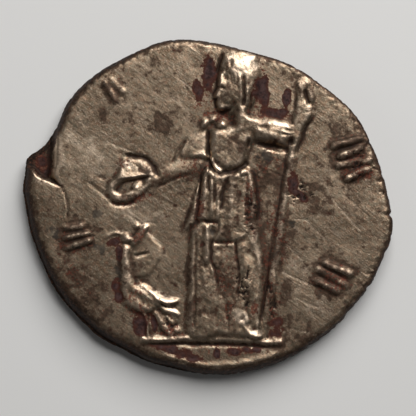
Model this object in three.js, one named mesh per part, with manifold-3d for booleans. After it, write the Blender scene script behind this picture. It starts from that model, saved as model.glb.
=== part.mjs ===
// A worn silver denarius, lying with its standing-figure side up.
// The flan is a lathed disc pulled to an uneven, slightly oval outline, with a split lobe at its left.
// The figure, the bird at its feet and the strokes round the border are low relief on the upper field.
// The underside carries a plain bust, worn flat where the coin rests.
// Millimetres, +Z up, origin under the middle of the coin, on the surface it lies on.
import * as THREE from "three";
import { mergeVertices } from "three/addons/utils/BufferGeometryUtils.js";
import Module from "manifold-3d";

const wasm = await Module();
wasm.setup();

// Flan outline: an oval, and where it swells or draws in (degrees, degrees, millimetres)
const LONG_RADIUS = 8.98;
const SHORT_RADIUS = 8.34;
const LONG_AXIS_DEG = -24;
const SWELLINGS = [
  { at: 12, spread: 16, out: 0.18 },
  { at: 33, spread: 10, out: 0.2 },
  { at: 76, spread: 12, out: -0.2 },
  { at: 104, spread: 10, out: 0.18 },
  { at: 138, spread: 14, out: 0.08 },
  { at: 152, spread: 6, out: -0.2 },
  { at: 165, spread: 3.5, out: 0.44 },
  { at: 172, spread: 7, out: 0.5 },
  { at: 184, spread: 12, out: 0.4 },
  { at: 208, spread: 15, out: 0.34 },
  { at: 229, spread: 10, out: 0.24 },
  { at: 247, spread: 9, out: 0.12 },
  { at: 272, spread: 13, out: 0.1 },
  { at: 308, spread: 10, out: -0.08 },
  { at: 325, spread: 5, out: -0.06 },
  { at: 335, spread: 5, out: 0.09 },
  { at: 352, spread: 11, out: 0.4 },
];
const FLAN_SIDES = 108;

// Flan section, from the middle of the underside round the edge to the middle of the upper field
const UNDER_FIELD_Z = 0.3;
const UPPER_FIELD_Z = 1.46;
const FLAN_SECTION = [
  { share: 0, z: UNDER_FIELD_Z },
  { share: 0.82, z: UNDER_FIELD_Z },
  { share: 0.875, z: 0 },
  { share: 0.945, z: 0 },
  { share: 0.985, z: 0.17 },
  { share: 1, z: 0.5 },
  { share: 0.998, z: 0.98 },
  { share: 0.985, z: 1.2 },
  { share: 0.965, z: 1.37 },
  { share: 0.935, z: UPPER_FIELD_Z },
  { share: 0, z: UPPER_FIELD_Z },
];

// The split at the left edge: a broken shelf below the field, running out over the edge
const SHELF_Z = 0.84;
const SHELF_OUTLINE = [
  [-8.3, 3.9],
  [-8.18, 2.7],
  [-8.12, 1.95],
  [-7.92, 1.5],
  [-7.5, 0.98],
  [-8.2, 1.28],
  [-8.75, 1.62],
  [-9.2, 2.0],
  [-9.9, 2.3],
  [-9.9, 3.9],
];

// Heights of relief, which is rooted a little below its field
const ROOT = 0.03;
const HIGH = 0.39;
const TALL = 0.33;
const MIDDLE = 0.27;
const LOW = 0.18;
const FAINT = 0.08;

// Half-widths of barred relief
const LIMB = 0.42;
const FOREARM = 0.3;
const ROD = 0.2;
const FOLD = 0.16;
const LINE = 0.1;

// Facets
const BAR_SIDES = 8;
const BAR_STEPS_PER_SPAN = 3;
const BAR_FEWEST_STEPS = 4;
const BAR_END_POWER = 3;
const MOUND_SIDES = 14;
const MOUND_RINGS = 8;
const SLAB_ROOT = 0.15;
const SLAB_BEVEL = 0.09;
const SMALLEST_EDGE = 0.008;

const rad = THREE.MathUtils.degToRad;
const lerp = THREE.MathUtils.lerp;

function flanRadius(deg) {
  const turn = rad(deg - LONG_AXIS_DEG);
  const oval = Math.hypot(SHORT_RADIUS * Math.cos(turn), LONG_RADIUS * Math.sin(turn));
  let radius = (LONG_RADIUS * SHORT_RADIUS) / oval;
  for (const { at, spread, out } of SWELLINGS) {
    const gap = THREE.MathUtils.euclideanModulo(deg - at + 180, 360) - 180;
    radius += out * Math.exp(-((gap / spread) ** 2));
  }
  return radius;
}

function solidOf(geometry) {
  geometry.deleteAttribute("normal");
  geometry.deleteAttribute("uv");
  const merged = mergeVertices(geometry, 1e-5);
  const corners = merged.index.array;
  const kept = [];
  for (let i = 0; i < corners.length; i += 3) {
    const [a, b, c] = corners.slice(i, i + 3);
    if (a !== b && b !== c && c !== a) kept.push(a, b, c);
  }
  const vertProperties = merged.attributes.position.array;
  const triVerts = new Uint32Array(kept);
  return new wasm.Manifold(new wasm.Mesh({ numProp: 3, vertProperties, triVerts }));
}

function geometryOf(solid) {
  const { vertProperties, triVerts } = solid.getMesh();
  const geometry = new THREE.BufferGeometry();
  geometry.setAttribute("position", new THREE.BufferAttribute(vertProperties, 3));
  geometry.setIndex(new THREE.BufferAttribute(triVerts, 1));
  geometry.computeVertexNormals();
  return geometry;
}

function flan() {
  const section = FLAN_SECTION.map(({ share, z }) => new THREE.Vector2(share, z));
  const disc = new THREE.LatheGeometry(section, FLAN_SIDES).rotateX(Math.PI / 2);
  const place = disc.attributes.position;
  for (let i = 0; i < place.count; i++) {
    const x = place.getX(i);
    const y = place.getY(i);
    const radius = flanRadius(THREE.MathUtils.radToDeg(Math.atan2(y, x)));
    place.setXY(i, x * radius, y * radius);
  }
  return disc;
}

// A rounded bar of relief along a route, with round ends. Its lower half lies in the field.
function bar(route, halfWidth, height) {
  const curve = new THREE.CatmullRomCurve3(route.map(([x, y]) => new THREE.Vector3(x, y, 0)));
  const steps = Math.max(BAR_FEWEST_STEPS, BAR_STEPS_PER_SPAN * (route.length - 1));
  const body = new THREE.SphereGeometry(1, BAR_SIDES, steps);
  const place = body.attributes.position;
  for (let i = 0; i < place.count; i++) {
    const polar = THREE.MathUtils.clamp(place.getY(i), -1, 1);
    const girth = Math.sqrt(1 - polar * polar);
    const full = (1 - Math.abs(polar) ** BAR_END_POWER) ** (1 / BAR_END_POWER);
    const scale = girth > 1e-6 ? full / girth : 0;
    const along = (1 - polar) / 2;
    const centre = curve.getPointAt(along);
    const heading = curve.getTangentAt(along);
    const aside = place.getX(i) * scale * halfWidth;
    const up = place.getZ(i) * scale * height;
    place.setXYZ(i, centre.x - heading.y * aside, centre.y + heading.x * aside, up);
  }
  return body;
}

// A rounded lump of relief
function mound([x, y], [halfLong, halfShort], height, turnDeg = 0) {
  return new THREE.SphereGeometry(1, MOUND_SIDES, MOUND_RINGS)
    .rotateX(Math.PI / 2)
    .scale(halfLong, halfShort, height)
    .rotateZ(rad(turnDeg))
    .translate(x, y, 0);
}

// A flat area of relief with a softened edge
function slab(outline, height) {
  const shape = new THREE.Shape(outline.map(([x, y]) => new THREE.Vector2(x, y)));
  const bevel = Math.min(SLAB_BEVEL, height);
  return new THREE.ExtrudeGeometry(shape, {
    depth: SLAB_ROOT + height - bevel,
    bevelThickness: bevel,
    bevelSize: bevel,
    bevelOffset: -bevel,
    bevelSegments: 2,
  }).translate(0, 0, -SLAB_ROOT);
}

// Several bars side by side, from a row of upper ends to a row of lower ends
function folds(count, [upperLeft, upperRight], [lowerLeft, lowerRight], halfWidth, height) {
  return Array.from({ length: count }, (_, i) => {
    const share = i / (count - 1);
    const top = [lerp(upperLeft[0], upperRight[0], share), lerp(upperLeft[1], upperRight[1], share)];
    const foot = [lerp(lowerLeft[0], lowerRight[0], share), lerp(lowerLeft[1], lowerRight[1], share)];
    return bar([top, foot], halfWidth, height);
  });
}

// A short row of parallel strokes, each pointing to the middle of the coin
function strokes([x, y], { count = 1, pitch = 0, length, halfWidth, height }) {
  const outward = Math.atan2(y, x);
  const reachX = (Math.cos(outward) * length) / 2;
  const reachY = (Math.sin(outward) * length) / 2;
  return Array.from({ length: count }, (_, i) => {
    const shift = (i - (count - 1) / 2) * pitch;
    const midX = x - Math.sin(outward) * shift;
    const midY = y + Math.cos(outward) * shift;
    return bar([[midX - reachX, midY - reachY], [midX + reachX, midY + reachY]], halfWidth, height);
  });
}

function veiledHead() {
  const head = mound([0.88, 5.8], [0.62, 1.0], TALL);
  const nose = bar([[0.34, 6.1], [0.16, 5.7]], 0.13, LOW);
  const chin = mound([0.6, 5.14], [0.32, 0.28], MIDDLE);
  const neck = bar([[1.4, 5.3], [1.5, 4.6], [1.9, 4.15]], LIMB, TALL);
  const hair = bar([[0.5, 6.6], [0.9, 6.7], [1.25, 6.3], [1.35, 5.75]], FOLD, HIGH);
  const veil = mound([1.5, 6.3], [1.0, 1.6], TALL, -4);
  const hem = bar([[0.62, 7.1], [1.15, 7.0], [1.6, 6.5], [1.72, 5.8], [1.75, 5.0]], FOLD, HIGH + 0.05);
  return [head, nose, chin, neck, hair, veil, hem];
}

function upperBody() {
  const outline = [
    [0, 3.85],
    [0.9, 4.25],
    [2.2, 4.4],
    [2.35, 3.5],
    [2.05, 2.3],
    [1.5, 1.8],
    [0.5, 1.8],
    [0, 2.4],
  ];
  const swell = mound([1.0, 3.0], [1.15, 1.5], HIGH);
  const pouch = bar([[0.0, 2.5], [0.55, 1.85], [1.4, 1.75], [2.0, 2.2]], 0.22, TALL);
  const brooch = mound([0.62, 4.2], [0.36, 0.28], MIDDLE, -20);
  const nearLump = mound([0.15, 4.42], [0.24, 0.17], LOW, 30);
  const farLump = mound([-0.22, 4.25], [0.26, 0.2], LOW, 60);
  return [slab(outline, MIDDLE), swell, pouch, brooch, nearLump, farLump];
}

function skirt() {
  const outline = [
    [-0.98, -6.62],
    [2.65, -6.62],
    [2.8, -5.2],
    [2.6, -1.65],
    [2.2, 0.3],
    [-0.35, 0.3],
    [-0.88, -1.65],
    [-1.08, -4.7],
  ];
  const pleats = folds(6, [[-0.45, -1.2], [2.1, -1.2]], [[-0.6, -6.4], [2.2, -6.4]], ROD, MIDDLE);
  const foot = bar([[1.35, -5.3], [1.95, -5.95], [2.4, -6.5]], FOREARM, TALL);
  return [slab(outline, 0.12), ...pleats, foot];
}

function overfold() {
  const outline = [
    [-0.3, 2.1],
    [2.1, 2.1],
    [2.2, -1.15],
    [1.2, -1.8],
    [0.15, -1.75],
    [0, -0.8],
    [-0.7, -0.65],
  ];
  const left = folds(3, [[-0.12, 1.9], [0.45, 1.9]], [[-0.45, -0.5], [0.4, -0.55]], FOLD, TALL);
  const sweep = bar([[1.0, 1.5], [0.75, 0.6], [0.62, -0.3], [0.6, -1.6]], FOLD, TALL);
  const right = folds(3, [[1.25, 1.7], [1.95, 1.7]], [[1.05, -1.6], [2.0, -1.1]], FOLD, TALL);
  const hanging = slab([[-0.33, 2.1], [-1.2, 0.1], [-1.5, -1.6], [-0.65, -0.95], [-0.3, 0.6]], 0.14);
  const hangingFold = bar([[-0.6, 1.5], [-0.95, 0.1], [-1.1, -1.1]], FOLD, 0.21);
  return [slab(outline, 0.22), ...left, sweep, ...right, hanging, hangingFold];
}

function arms() {
  const offeringUpper = bar([[0.0, 4.05], [-0.4, 3.2], [-0.5, 2.4]], LIMB, TALL);
  const offeringFore = bar([[-0.45, 2.15], [-1.7, 1.75], [-2.9, 1.35]], LIMB, LOW);
  const sleeve = bar([[-0.45, 3.8], [-1.1, 3.4], [-1.5, 2.55]], FOLD, 0.12);
  const raisedUpper = bar([[1.7, 4.15], [3.0, 3.9], [4.3, 3.65]], 0.62, HIGH);
  const sleeveFolds = folds(2, [[2.5, 4.15], [2.6, 3.75]], [[4.15, 3.95], [4.0, 3.25]], LINE, HIGH);
  const raisedFore = bar([[4.2, 3.3], [4.45, 4.3], [4.95, 5.2]], FOREARM, LOW);
  const raisedHand = mound([5.05, 5.55], [0.32, 0.42], LOW);
  return [offeringUpper, offeringFore, sleeve, raisedUpper, ...sleeveFolds, raisedFore, raisedHand];
}

function dish() {
  const rim = new THREE.TorusGeometry(1, 0.16, 8, 28)
    .scale(1.15, 0.6, 1)
    .rotateZ(rad(18))
    .translate(-4.1, 0.85, 0.03);
  const heaped = mound([-3.6, 1.88], [0.95, 0.48], TALL, -18);
  return [rim, heaped];
}

function sceptre() {
  const shaft = bar([[4.68, 6.2], [2.7, -6.55]], ROD, LOW);
  const knob = mound([4.8, 6.3], [0.28, 0.3], LOW);
  return [shaft, knob];
}

function bird() {
  const flake = [
    [-3.9, -1.95],
    [-3.15, -1.25],
    [-2.75, -1.8],
    [-2.4, -1.95],
    [-2.4, -2.4],
    [-2.65, -2.75],
    [-3.0, -3.4],
    [-3.9, -3.6],
  ];
  const body = mound([-3.45, -4.66], [1.05, 0.68], MIDDLE, -22);
  const breast = mound([-4.05, -4.3], [0.42, 0.75], MIDDLE);
  const neck = bar([[-4.12, -4.2], [-4.22, -3.2], [-4.2, -2.4], [-4.18, -1.7]], FOREARM, LOW);
  const head = mound([-4.16, -1.58], [0.32, 0.24], MIDDLE);
  const beak = bar([[-4.35, -1.55], [-4.95, -1.68]], LINE, 0.15);
  const crests = folds(2, [[-3.95, -1.35], [-3.9, -1.75]], [[-3.6, -0.9], [-3.25, -1.05]], LINE, LOW);
  const wing = bar([[-3.4, -4.05], [-2.6, -4.47], [-1.56, -4.78]], FOREARM, TALL);
  const tail = bar([[-2.9, -4.75], [-2.2, -5.1], [-1.5, -5.42]], ROD, MIDDLE);
  const leg = bar([[-3.15, -5.1], [-3.06, -6.5]], LINE, LOW);
  const hindLeg = bar([[-2.75, -5.1], [-2.4, -5.9], [-2.1, -6.5]], 0.12, LOW);
  return [slab(flake, 0.06), body, breast, neck, head, beak, ...crests, wing, tail, leg, hindLeg];
}

function groundLine() {
  return [bar([[-3.4, -6.68], [3.65, -6.8]], FOLD, LOW)];
}

function upperStrokes() {
  return [
    strokes([-4.85, 6.0], { count: 2, pitch: 0.46, length: 0.8, halfWidth: FOLD, height: FAINT }),
    strokes([-6.75, -1.45], { count: 3, pitch: 0.44, length: 1.05, halfWidth: FOLD, height: 0.15 }),
    strokes([7.2, 2.5], { count: 4, pitch: 0.56, length: 1.25, halfWidth: ROD, height: 0.15 }),
    strokes([6.2, -3.55], { count: 3, pitch: 0.52, length: 1.35, halfWidth: ROD, height: 0.15 }),
  ].flat();
}

// The underside's plain bust, drawn as it looks when the coin is turned over, top to bottom
function bust() {
  const skull = mound([-0.45, 1.25], [1.95, 1.85], TALL);
  const face = mound([0.6, 0.2], [1.5, 2.1], 0.36, -8);
  const nose = bar([[1.75, 1.0], [2.25, 0.1]], FOREARM, LOW);
  const lips = mound([1.85, -0.5], [0.32, 0.3], LOW);
  const chin = mound([1.4, -1.35], [0.55, 0.45], MIDDLE);
  const knot = mound([-2.45, 0.2], [0.9, 0.8], MIDDLE);
  const waves = Array.from({ length: 4 }, (_, i) => {
    const brow = [1.55 - 0.4 * i, 1.5 + 0.42 * i];
    const crown = [-0.1 - 0.3 * i, 1.35 + 0.44 * i];
    const nape = [-2.0 - 0.1 * i, 0.35 + 0.4 * i];
    return bar([brow, crown, nape], ROD, HIGH);
  });
  const neck = bar([[0.0, -0.9], [-0.4, -4.0]], 0.95, MIDDLE);
  const shoulders = mound([-0.4, -5.1], [3.1, 1.5], MIDDLE);
  const drape = folds(5, [[-1.5, -4.1], [0.9, -4.1]], [[-2.7, -5.9], [1.9, -5.9]], FOLD, TALL);
  return [skull, face, nose, lips, chin, knot, ...waves, neck, shoulders, ...drape];
}

const UNDER_STROKES = { count: 20, fromDeg: -42, toDeg: 222, radius: 6.2 };

function underStrokes() {
  const { count, fromDeg, toDeg, radius } = UNDER_STROKES;
  return Array.from({ length: count }, (_, i) => {
    const turn = rad(lerp(fromDeg, toDeg, i / (count - 1)));
    const middle = [radius * Math.cos(turn), radius * Math.sin(turn)];
    return strokes(middle, { length: 1.0, halfWidth: LINE, height: LOW });
  }).flat();
}

// Joins all the relief to the flan, breaks the shelf out of the edge and wears the underside flat
function coin() {
  const disc = flan();
  disc.computeBoundingBox();
  const middle = disc.boundingBox.getCenter(new THREE.Vector3());
  const upper = [
    ...skirt(),
    ...overfold(),
    ...upperBody(),
    ...arms(),
    ...veiledHead(),
    ...dish(),
    ...sceptre(),
    ...bird(),
    ...groundLine(),
    ...upperStrokes(),
  ].map((shape) => shape.translate(0, 0, UPPER_FIELD_Z - ROOT));
  const lower = [...bust(), ...underStrokes()].map((shape) =>
    shape.rotateX(Math.PI).translate(0, 0, UNDER_FIELD_Z + ROOT),
  );
  const shelfShape = new THREE.Shape(SHELF_OUTLINE.map(([x, y]) => new THREE.Vector2(x, y)));
  const shelf = new THREE.ExtrudeGeometry(shelfShape, { depth: UPPER_FIELD_Z, bevelEnabled: false });
  shelf.translate(0, 0, SHELF_Z);
  const worn = new THREE.BoxGeometry(2 * LONG_RADIUS, 2 * LONG_RADIUS, UPPER_FIELD_Z);
  worn.translate(0, 0, -UPPER_FIELD_Z / 2);
  const whole = [...upper, ...lower].reduce((sum, shape) => sum.add(solidOf(shape)), solidOf(disc));
  const struck = whole.subtract(solidOf(shelf)).subtract(solidOf(worn)).simplify(SMALLEST_EDGE);
  return geometryOf(struck).translate(-middle.x, -middle.y, 0);
}

const silver = new THREE.MeshStandardMaterial({ color: 0x8f8371, roughness: 0.42, metalness: 1 });
const denarius = new THREE.Group();
const piece = new THREE.Mesh(coin(), silver);
piece.name = "coin";
denarius.add(piece);

export default denarius;
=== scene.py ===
"""A worn silver denarius lying on a pale floor, seen from straight above.

One closed mesh stands for the coin. Both faces are fine grids whose heights are struck from named shapes, in
millimetres. Its metal is procedural, with toning, patina and pits placed by masks on the mesh, and with
painted shade in its hollows, creases and on its edge.
"""

import math

import bpy
import numpy as np
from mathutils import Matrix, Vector, noise


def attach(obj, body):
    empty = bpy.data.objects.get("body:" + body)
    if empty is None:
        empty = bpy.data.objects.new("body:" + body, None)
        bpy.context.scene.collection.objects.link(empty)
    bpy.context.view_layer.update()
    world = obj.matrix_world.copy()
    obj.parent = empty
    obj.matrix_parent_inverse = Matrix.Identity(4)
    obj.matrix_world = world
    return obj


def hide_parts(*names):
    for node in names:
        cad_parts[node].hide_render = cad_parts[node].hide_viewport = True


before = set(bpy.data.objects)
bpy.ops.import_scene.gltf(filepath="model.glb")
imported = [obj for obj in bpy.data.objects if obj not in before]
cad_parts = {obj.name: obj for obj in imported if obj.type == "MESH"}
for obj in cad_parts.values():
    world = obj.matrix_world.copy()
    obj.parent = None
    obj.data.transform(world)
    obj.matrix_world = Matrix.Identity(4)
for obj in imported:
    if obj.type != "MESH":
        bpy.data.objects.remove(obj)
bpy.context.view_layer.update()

MM = 0.001

# Outline of the flan: an oval, and where it swells or draws in (degrees, degrees, millimetres)
LONG_RADIUS = 8.98
SHORT_RADIUS = 8.34
LONG_AXIS_DEG = -24
SWELLINGS = (
    (12, 16, 0.18),
    (33, 10, 0.2),
    (76, 12, -0.2),
    (104, 10, 0.18),
    (138, 14, 0.08),
    (152, 6, -0.2),
    (165, 3.5, 0.44),
    (172, 7, 0.5),
    (184, 12, 0.4),
    (208, 15, 0.34),
    (229, 10, 0.24),
    (247, 9, 0.12),
    (272, 13, 0.1),
    (308, 10, -0.08),
    (325, 5, -0.06),
    (335, 5, 0.09),
    (352, 11, 0.4),
)
# Small chips out of the outline, in the same form
CHIPS = (
    (22, 0.8, -0.05),
    (357.6, 0.7, -0.1),
    (345.5, 1.0, -0.06),
    (333, 0.8, -0.08),
    (323, 1.2, -0.05),
    (306, 0.7, -0.06),
    (298, 0.8, -0.04),
    (289, 0.7, -0.04),
)

# Section of the flan: share of the grid, share of the outline's radius, height
UPPER_FIELD_Z = 1.46
UPPER_SECTION = (
    (0, 0, UPPER_FIELD_Z),
    (0.88, 0.92, UPPER_FIELD_Z),
    (0.92, 0.955, 1.45),
    (0.945, 0.975, 1.37),
    (0.965, 0.988, 1.2),
    (0.985, 0.998, 0.95),
    (1, 1, 0.76),
)
UNDER_SECTION = (
    (0, 0, 0.3),
    (0.8, 0.82, 0.3),
    (0.86, 0.875, 0.02),
    (0.92, 0.945, 0.02),
    (0.96, 0.985, 0.19),
    (1, 0.999, 0.5),
)
# How widely the section's corners are rounded, and the steps and margin used to work that out
SECTION_SOFTENING = 0.014
SECTION_STEPS = 1000
SECTION_MARGIN = 0.1
# How far the shoulder of the rim wavers in and out, and how often
RIM_WAVER = 0.014
RIM_WAVES = (3, 5, 8, 13, 21)
# The side where the rim is sharp and faces the key lamp, where the least painted shade lies on the edge, and
# how much blunter the rim is across from there
SHARP_LIT_SIDE = math.radians(40)
RIM_LEAN = 0.034
# How far the surface stays inside the outline
OUTLINE_INSET = 0.003

# Cells along one side of each face's grid
UPPER_CELLS = 276
UNDER_CELLS = UPPER_CELLS // 2


def flan_radius(deg):
    """Radius of the outline at an angle round it."""
    turn = np.radians(deg - LONG_AXIS_DEG)
    radius = LONG_RADIUS * SHORT_RADIUS / np.hypot(SHORT_RADIUS * np.cos(turn), LONG_RADIUS * np.sin(turn))
    for at, spread, out in SWELLINGS + CHIPS:
        gap = (deg - at + 180) % 360 - 180
        radius = radius + out * np.exp(-((gap / spread) ** 2))
    return radius


def polar(radius, deg):
    """Place at a radius and an angle round the coin."""
    return radius * np.cos(np.radians(deg)), radius * np.sin(np.radians(deg))


def flan_middle():
    """Middle of the outline's box."""
    deg = np.arange(0, 360, 0.25)
    x, y = polar(flan_radius(deg), deg)
    return (x.min() + x.max()) / 2, (y.min() + y.max()) / 2


def softened(at, knots, values):
    """Values between knots, with the corners rounded."""
    count = round((1 + 2 * SECTION_MARGIN) * SECTION_STEPS) + 1
    fine = np.linspace(-SECTION_MARGIN, 1 + SECTION_MARGIN, count)
    straight = np.interp(fine, knots, values)
    window = np.hanning(round(SECTION_SOFTENING * SECTION_STEPS) * 2 + 1)
    return np.interp(at, fine, np.convolve(straight, window / window.sum(), mode="same"))


def smooth_route(route, closed=False, steps=6):
    """Points along a Catmull-Rom curve through the route."""
    points = np.array(route, float)
    if len(points) < 3:
        return points
    if closed:
        padded = np.vstack([points[-1], points, points[:2]])
    else:
        padded = np.vstack([2 * points[0] - points[1], points, 2 * points[-1] - points[-2]])
    made = []
    for a, b, c, d in zip(padded, padded[1:], padded[2:], padded[3:]):
        for t in np.linspace(0, 1, steps, endpoint=False):
            bend = (2 * a - 5 * b + 4 * c - d) * t * t + (3 * b - a - 3 * c + d) * t**3
            made.append(0.5 * (2 * b + (c - a) * t + bend))
    if not closed:
        made.append(points[-1])
    return np.array(made)


class Face:
    """One side of the coin: a square grid laid on its disc, and the relief's height at each point."""

    def __init__(self, cells, section, turned_over=False):
        line = np.linspace(-1, 1, cells + 1)
        a, b = np.meshgrid(line, line)
        wide = np.abs(a) > np.abs(b)
        reach = np.where(wide, a, b)
        share = np.where(wide, b, a) / np.where(reach == 0, 1, reach)
        angle = np.where(wide, share, 2 - share) * math.pi / 4
        unit_x = reach * np.cos(angle)
        unit_y = reach * np.sin(angle)
        rho = np.hypot(unit_x, unit_y)
        turn = np.arctan2(unit_y, unit_x)
        knots, shares, heights = zip(*section)
        outline = flan_radius(np.degrees(-turn if turned_over else turn)) - OUTLINE_INSET
        radius = outline * softened(rho, knots, shares)
        self.cells = cells
        self.rho = rho
        self.turn = turn
        self.x = radius * np.cos(turn)
        self.y = radius * np.sin(turn)
        uneven = rho + RIM_WAVER * sum(np.sin(n * turn + n * n) for n in RIM_WAVES) / len(RIM_WAVES)
        uneven = uneven - RIM_LEAN * np.cos(turn - SHARP_LIT_SIDE)
        self.ground = softened(uneven, knots, heights)
        self.z = np.zeros_like(rho)

    def rough(self, size, seed, octaves=4):
        """Fractal noise over the face, features of a given size in millimetres, about -1 to 1."""
        shift = Vector((seed * 7.3, seed * 3.1, seed * 5.7))
        drop = self.ground - self.ground[self.cells // 2, self.cells // 2]
        made = [
            noise.fractal(Vector(place) / size + shift, 1.0, 2.0, octaves)
            for place in zip(self.x.flat, self.y.flat, drop.flat)
        ]
        return np.array(made).reshape(self.x.shape)

    def near(self, points, margin):
        """Picks the grid's points within a margin of some places."""
        low = np.min(points, axis=0) - margin
        high = np.max(points, axis=0) + margin
        return np.nonzero((self.x > low[0]) & (self.x < high[0]) & (self.y > low[1]) & (self.y < high[1]))

    def distance(self, picked, points):
        """Distance of the picked points from a line, and how far along the line the nearest place is."""
        x, y = self.x[picked], self.y[picked]
        nearest = np.full(x.shape, np.inf)
        along = np.zeros(x.shape)
        for i, (start, end) in enumerate(zip(points[:-1], points[1:])):
            step = end - start
            t = np.clip(((x - start[0]) * step[0] + (y - start[1]) * step[1]) / (step @ step), 0, 1)
            gap = np.hypot(x - start[0] - t * step[0], y - start[1] - t * step[1])
            along = np.where(gap < nearest, (i + t) / (len(points) - 1), along)
            nearest = np.minimum(nearest, gap)
        return nearest, along

    def inside(self, picked, points):
        """How far inside an outline each picked point is; negative outside."""
        gap, _ = self.distance(picked, np.vstack([points, points[:1]]))
        x, y = self.x[picked], self.y[picked]
        within = np.zeros(x.shape, bool)
        for (ax, ay), (bx, by) in zip(points, np.roll(points, -1, axis=0)):
            crosses = (ay > y) != (by > y)
            within ^= crosses & (x < (bx - ax) * (y - ay) / (by - ay if by != ay else 1) + ax)
        return np.where(within, gap, -gap)

    def oval(self, picked, centre, halves, turn=0):
        """Distance from an oval's centre, 1 at its edge."""
        x, y = self.x[picked] - centre[0], self.y[picked] - centre[1]
        c, s = math.cos(math.radians(turn)), math.sin(math.radians(turn))
        return np.hypot((x * c + y * s) / halves[0], (y * c - x * s) / halves[1])

    def raise_to(self, picked, height, fillet):
        """Joins a height to the relief, with a fillet where the two meet."""
        now = self.z[picked]
        overlap = np.maximum(fillet - np.abs(now - height), 0)
        self.z[picked] = np.maximum(now, height) + overlap**2 / (4 * fillet)

    def bar(self, route, width, height, power=0.6, fillet=0.04):
        """A rounded bar along a route. Half-width and height may each differ at its two ends."""
        points = smooth_route(route)
        widths, heights = np.broadcast_to(width, 2), np.broadcast_to(height, 2)
        picked = self.near(points, widths.max() * 1.5 + 0.1)
        gap, along = self.distance(picked, points)
        gap = gap / (widths[0] + (widths[1] - widths[0]) * along)
        tall = heights[0] + (heights[1] - heights[0]) * along
        round_top = np.maximum(1 - gap**2, 0) ** power
        self.raise_to(picked, tall * np.where(gap < 1, round_top, 1 - gap), fillet)

    def mound(self, centre, halves, height, turn=0, power=0.6, fillet=0.04):
        """A rounded lump."""
        picked = self.near([centre], max(halves) * 1.5 + 0.1)
        gap = self.oval(picked, centre, halves, turn)
        round_top = np.maximum(1 - gap**2, 0) ** power
        self.raise_to(picked, height * np.where(gap < 1, round_top, 1 - gap), fillet)

    def area(self, outline, height, edge=0.15, fillet=0.03, rounded=True):
        """A level area with a sloping edge."""
        points = smooth_route(outline, closed=True, steps=4) if rounded else np.array(outline, float)
        picked = self.near(points, edge + 0.1)
        deep = self.inside(picked, points) / edge
        rise = np.sin(np.clip(deep, 0, 1) * math.pi / 2)
        self.raise_to(picked, height * np.where(deep > 0, rise, deep), fillet)

    def slope(self, outline, low, high, height, edge=0.1, fillet=0.03):
        """An area that rises from a low place to a high one."""
        points = smooth_route(outline, closed=True, steps=4)
        picked = self.near(points, edge + 0.1)
        deep = np.clip(self.inside(picked, points) / edge, -1, 1)
        run = np.subtract(high, low)
        up = ((self.x[picked] - low[0]) * run[0] + (self.y[picked] - low[1]) * run[1]) / (run @ run)
        tall = height * np.clip(up, 0, 1.2) * np.sin(deep * math.pi / 2)
        self.raise_to(picked, np.where(deep > 0, tall, height * deep), fillet)

    def hollow(self, outline, level, edge=0.06):
        """Cuts the relief inside an outline down to a level."""
        points = smooth_route(outline, closed=True, steps=4)
        picked = self.near(points, 0.1)
        share = np.clip(self.inside(picked, points) / edge, 0, 1)
        now = self.z[picked]
        self.z[picked] = now + (np.minimum(now, level) - now) * share

    def fold(self, route, width, height):
        """Adds a soft ridge, or a furrow where the height is negative, to the relief that is there."""
        points = smooth_route(route)
        widths = np.broadcast_to(width, 2)
        picked = self.near(points, widths.max() + 0.05)
        gap, along = self.distance(picked, points)
        gap = gap / (widths[0] + (widths[1] - widths[0]) * along)
        fade = np.clip(np.minimum(along, 1 - along) * 8, 0, 1)
        self.z[picked] += height * fade * np.maximum(1 - gap**2, 0) ** 2

    def folds(self, lines):
        """Adds several ridges and furrows, each a route, a half-width and a height."""
        for route, width, height in lines:
            self.fold(route, width, height)

    def dent(self, centre, halves, depth, turn=0):
        """Presses a soft hollow into the relief that is there."""
        picked = self.near([centre], max(halves) + 0.05)
        self.z[picked] -= depth * np.maximum(1 - self.oval(picked, centre, halves, turn) ** 2, 0) ** 2

    def blurred(self, values, cells):
        """Values averaged over neighbouring cells."""
        window = np.hanning(2 * cells + 3)[1:-1]
        window /= window.sum()
        padded = np.pad(values, cells, mode="edge")
        rows = np.apply_along_axis(np.convolve, 0, padded, window, mode="valid")
        return np.apply_along_axis(np.convolve, 1, rows, window, mode="valid")


# The standing figure: head, turned to the left, and veil

VEIL = ((0.5, 7.2), (0.7, 7.85), (1.6, 8.0), (2.4, 7.65), (2.5, 6.8), (2.25, 6.1), (2.05, 5.4), (2.1, 4.75),
        (2.3, 4.2), (1.35, 4.1), (1.35, 5.0), (1.1, 5.6), (0.75, 6.4))
PROFILE = ((0.62, 6.95), (0.42, 6.5), (0.4, 6.12), (0.17, 5.62), (0.34, 5.46), (0.28, 5.3), (0.33, 5.12),
           (0.36, 4.9), (0.62, 4.8), (1.1, 5.0), (1.5, 5.5), (1.5, 6.4), (1.15, 6.95))
NECK = ((1.15, 5.4), (1.9, 5.3), (2.05, 4.75), (2.7, 4.5), (2.75, 3.9), (2.0, 3.6), (1.1, 3.7), (1.25, 4.4))
# Brow, eye, nostril, lips, chin and jaw, at even thirds of the face's height
FEATURES = (
    (((0.38, 6.16), (0.6, 6.2), (0.86, 6.12)), 0.09, 0.06),
    (((0.42, 6.04), (0.82, 6.0)), 0.1, -0.09),
    (((0.46, 5.96), (0.7, 5.96)), 0.07, 0.06),
    (((0.46, 5.84), (0.74, 5.86)), 0.06, -0.04),
    (((0.28, 5.62), (0.44, 5.56)), 0.08, 0.05),
    (((0.32, 5.48), (0.52, 5.5)), 0.06, -0.05),
    (((0.3, 5.37), (0.56, 5.36)), 0.07, 0.05),
    (((0.32, 5.29), (0.6, 5.28)), 0.06, -0.07),
    (((0.32, 5.2), (0.54, 5.2)), 0.07, 0.05),
    (((0.38, 5.1), (0.56, 5.1)), 0.07, -0.05),
    (((0.62, 4.84), (1.0, 5.0), (1.28, 5.45)), 0.12, -0.06),
)
HAIR_LOCKS = 5
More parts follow.
